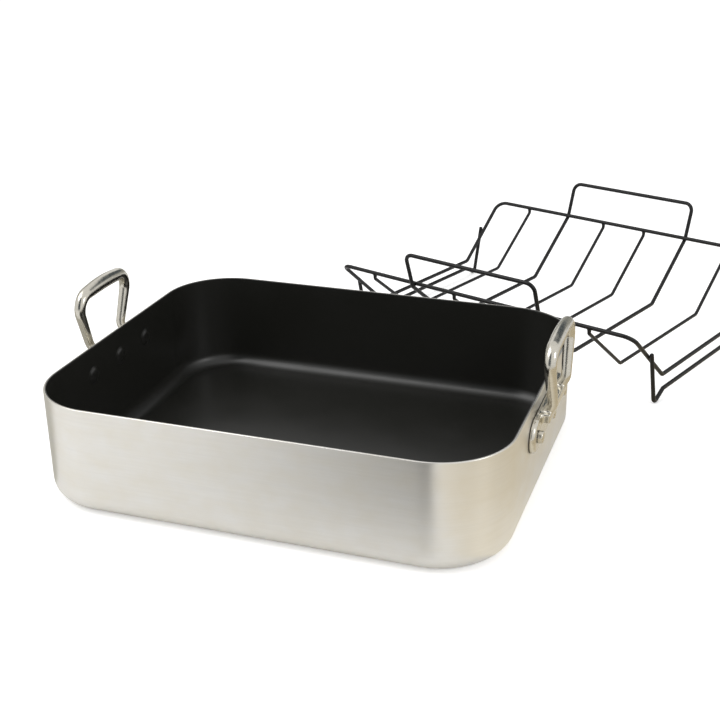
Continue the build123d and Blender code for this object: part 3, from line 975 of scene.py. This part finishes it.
def area_lamp(name, place, target, size, power):
    """A square soft lamp that looks at a target."""
    lamp = bpy.data.lights.new(name, "AREA")
    lamp.shape = "SQUARE"
    lamp.size = size
    lamp.energy = power
    held = bpy.data.objects.new(name, lamp)
    held.location = place
    held.rotation_euler = (Vector(place) - Vector(target)).to_track_quat("Z", "Y").to_euler()
    bpy.context.scene.collection.objects.link(held)


def flag(name, hex_colour, corners, fades):
    """A card that only reflections see, as a photographer sets beside polished metal. It fades in along X, Y
    or Z from one place to another, in metres."""
    card = mesh_object(name, corners, [(0, 1, 2, 3)])
    material, tree = new_material(name)
    place = add(tree, "ShaderNodeTexCoord").outputs["Object"]
    parts = add(tree, "ShaderNodeSeparateXYZ", {0: place}).outputs
    cover = 1.0
    for axis, start, end in fades:
        fade = add(tree, "ShaderNodeMapRange", {
            "Value": parts[axis], "From Min": start, "From Max": end}, interpolation_type="SMOOTHSTEP")
        cover = add(tree, "ShaderNodeMath", {0: cover, 1: fade}, operation="MULTIPLY")
    glow = add(tree, "ShaderNodeEmission", {"Color": linear(hex_colour), "Strength": 1.0})
    clear = add(tree, "ShaderNodeBsdfTransparent")
    mix = add(tree, "ShaderNodeMixShader", {0: cover, 1: clear, 2: glow})
    add(tree, "ShaderNodeOutputMaterial", {"Surface": mix})
    card.data.materials.append(material)
    card.visible_camera = False
    card.visible_diffuse = False
    card.visible_shadow = False


# Lamps: name, place, what it looks at, side, and its share of the key's power
LAMPS = (
    ("key_lamp", (-0.9, -0.5, 1.5), (0.05, 0.1, 0.05), 1.2, 1.0),
    ("side_lamp", (1.5, -0.3, 0.9), (0.1, 0.1, 0.05), 0.45, 0.35),
)
# Cards that lie level: name, colour, two corners, height and fades
LEVEL_CARDS = (
    ("low_flag", "#403B2D", (-0.40, -0.90), (0.185, -0.18), 0.002,
     (("X", -0.235, 0.215), ("X", 0.185, 0.165), ("Y", -0.19, -0.33))),
    ("left_edge_flag", "#C6C4BC", (-0.90, -0.14), (-0.208, 0.90), 0.002, ()),
    ("corner_card", "#FAF3E4", (0.195, -0.70), (0.34, 0.05), 0.003, (("X", 0.34, 0.24), ("Y", 0.05, -0.12))),
    ("warm_card", "#DCD0B6", (0.205, -0.70), (0.90, 0.60), 0.002, (("X", 0.205, 0.250),)),
)
# Cards that stand upright: name, colour, the two ends on the floor's plan, lowest and highest, and fades
UPRIGHT_CARDS = (
    ("camera_side_flag", "#50575E", (-0.75, -1.40), (0.45, -1.40), 0.05, 2.60,
     (("X", -0.75, -0.45), ("X", 0.45, 0.36), ("Z", 0.05, 0.25))),
    ("back_flag", "#A8A8A2", (-0.95, 1.60), (1.00, 1.60), 0.02, 0.60,
     (("X", -0.95, -0.65), ("X", 1.00, 0.80), ("Z", 0.60, 0.45))),
    ("high_back_flag", "#50585E", (-0.36, 1.55), (1.30, 1.55), 0.40, 1.60,
     (("X", -0.36, -0.12), ("X", 1.30, 1.10), ("Z", 0.40, 0.62), ("Z", 1.60, 1.35))),
    ("left_flag", "#C4C4C0", (-1.50, 0.10), (-1.10, 1.50), 0.02, 1.20, ()),
)


class ROASTER_OT_studio(bpy.types.Operator):
    """Sets up the floor, the white room, the lamps and the camera"""
    bl_idname = "roaster.studio"
    bl_label = "Studio"

    def execute(self, context):
        scene = context.scene
        studio = scene.roaster_studio
        scene.view_settings.view_transform = "Standard"

        lens = bpy.data.cameras.new("camera")
        lens.lens = studio.lens
        lens.sensor_width = studio.sensor
        lens.clip_start, lens.clip_end = 0.01, 100.0
        camera = bpy.data.objects.new("camera", lens)
        azimuth, elevation, roll = studio.camera_azimuth, studio.camera_elevation, studio.camera_roll
        back = Vector((math.sin(azimuth) * math.cos(elevation), -math.cos(azimuth) * math.cos(elevation),
                       math.sin(elevation)))
        level = (-back).cross(Vector((0, 0, 1))).normalized()
        upright = level.cross(-back)
        right = level * math.cos(roll) + upright * math.sin(roll)
        up = upright * math.cos(roll) - level * math.sin(roll)
        camera.matrix_world = Matrix.Translation(Vector(studio.camera_place)) @ Matrix(
            (right, up, back)).transposed().to_4x4()
        scene.collection.objects.link(camera)
        scene.camera = camera

        far = 9.0
        floor = mesh_object("floor", [(-far, -far, 0), (far, -far, 0), (far, far, 0), (-far, far, 0)],
                            [(0, 1, 2, 3)])
        paper, tree = new_material("white_paper_sweep")
        matt = add(tree, "ShaderNodeBsdfDiffuse", {"Color": studio.floor})
        glow = add(tree, "ShaderNodeEmission", {"Color": studio.floor, "Strength": studio.floor_glow})
        seen = add(tree, "ShaderNodeLightPath").outputs["Is Camera Ray"]
        both = add(tree, "ShaderNodeAddShader", {0: matt, 1: glow})
        mix = add(tree, "ShaderNodeMixShader", {0: seen, 1: matt, 2: both})
        add(tree, "ShaderNodeOutputMaterial", {"Surface": mix})
        floor.data.materials.append(paper)

        scene.world = bpy.data.worlds.new("white_room")
        scene.world.use_nodes = True
        tree = scene.world.node_tree
        tree.nodes.clear()
        ray = add(tree, "ShaderNodeLightPath").outputs
        seen = add(tree, "ShaderNodeMath", {0: ray["Is Camera Ray"], 1: ray["Is Glossy Ray"]},
                   operation="ADD")
        seen = add(tree, "ShaderNodeMath", {0: seen, 1: ray["Is Transmission Ray"]},
                   operation="ADD", use_clamp=True)
        room = add(tree, "ShaderNodeBackground", {"Color": (1, 1, 1, 1), "Strength": studio.fill})
        white = add(tree, "ShaderNodeBackground", {"Color": studio.floor, "Strength": 1.0})
        mix = add(tree, "ShaderNodeMixShader", {0: seen, 1: room, 2: white})
        add(tree, "ShaderNodeOutputWorld", {"Surface": mix})

        for name, place, target, side, power_share in LAMPS:
            area_lamp(name, place, target, side, studio.key * power_share)
        for name, hex_colour, (x0, y0), (x1, y1), z, fades in LEVEL_CARDS:
            flag(name, hex_colour, [(x0, y0, z), (x1, y0, z), (x1, y1, z), (x0, y1, z)], fades)
        for name, hex_colour, (x0, y0), (x1, y1), z0, z1, fades in UPRIGHT_CARDS:
            flag(name, hex_colour, [(x0, y0, z0), (x1, y1, z0), (x1, y1, z1), (x0, y0, z1)], fades)
        return {"FINISHED"}


OPERATORS = (ROASTER_OT_studio, ROASTER_OT_shell, ROASTER_OT_lining, ROASTER_OT_handles, ROASTER_OT_rivets,
             ROASTER_OT_rack_wires, ROASTER_OT_weld_beads)


class ROASTER_PT_panel(bpy.types.Panel):
    """Lists the pieces and their sizes"""
    bl_idname = "ROASTER_PT_panel"
    bl_label = "Roasting pan"
    bl_space_type = "VIEW_3D"
    bl_region_type = "UI"
    bl_category = "Roasting pan"

    def draw(self, context):
        for operator in OPERATORS:
            self.layout.operator(operator.bl_idname)
        for group, kind in GROUPS.items():
            box = self.layout.box()
            box.label(text=kind.__doc__)
            for key in kind.__annotations__:
                box.prop(getattr(context.scene, group), key)


def register():
    for kind in list(GROUPS.values()) + list(OPERATORS) + [ROASTER_PT_panel]:
        bpy.utils.register_class(kind)
    for group, kind in GROUPS.items():
        setattr(bpy.types.Scene, group, bpy.props.PointerProperty(type=kind))


def unregister():
    for group in GROUPS:
        delattr(bpy.types.Scene, group)
    for kind in reversed(list(GROUPS.values()) + list(OPERATORS) + [ROASTER_PT_panel]):
        bpy.utils.unregister_class(kind)


def main():
    register()
    bpy.ops.roaster.studio()
    bpy.ops.roaster.shell()
    bpy.ops.roaster.lining()
    bpy.ops.roaster.handles()
    bpy.ops.roaster.rivets()
    bpy.ops.roaster.rack_wires()
    bpy.ops.roaster.weld_beads()


if __name__ == "__main__":
    main()
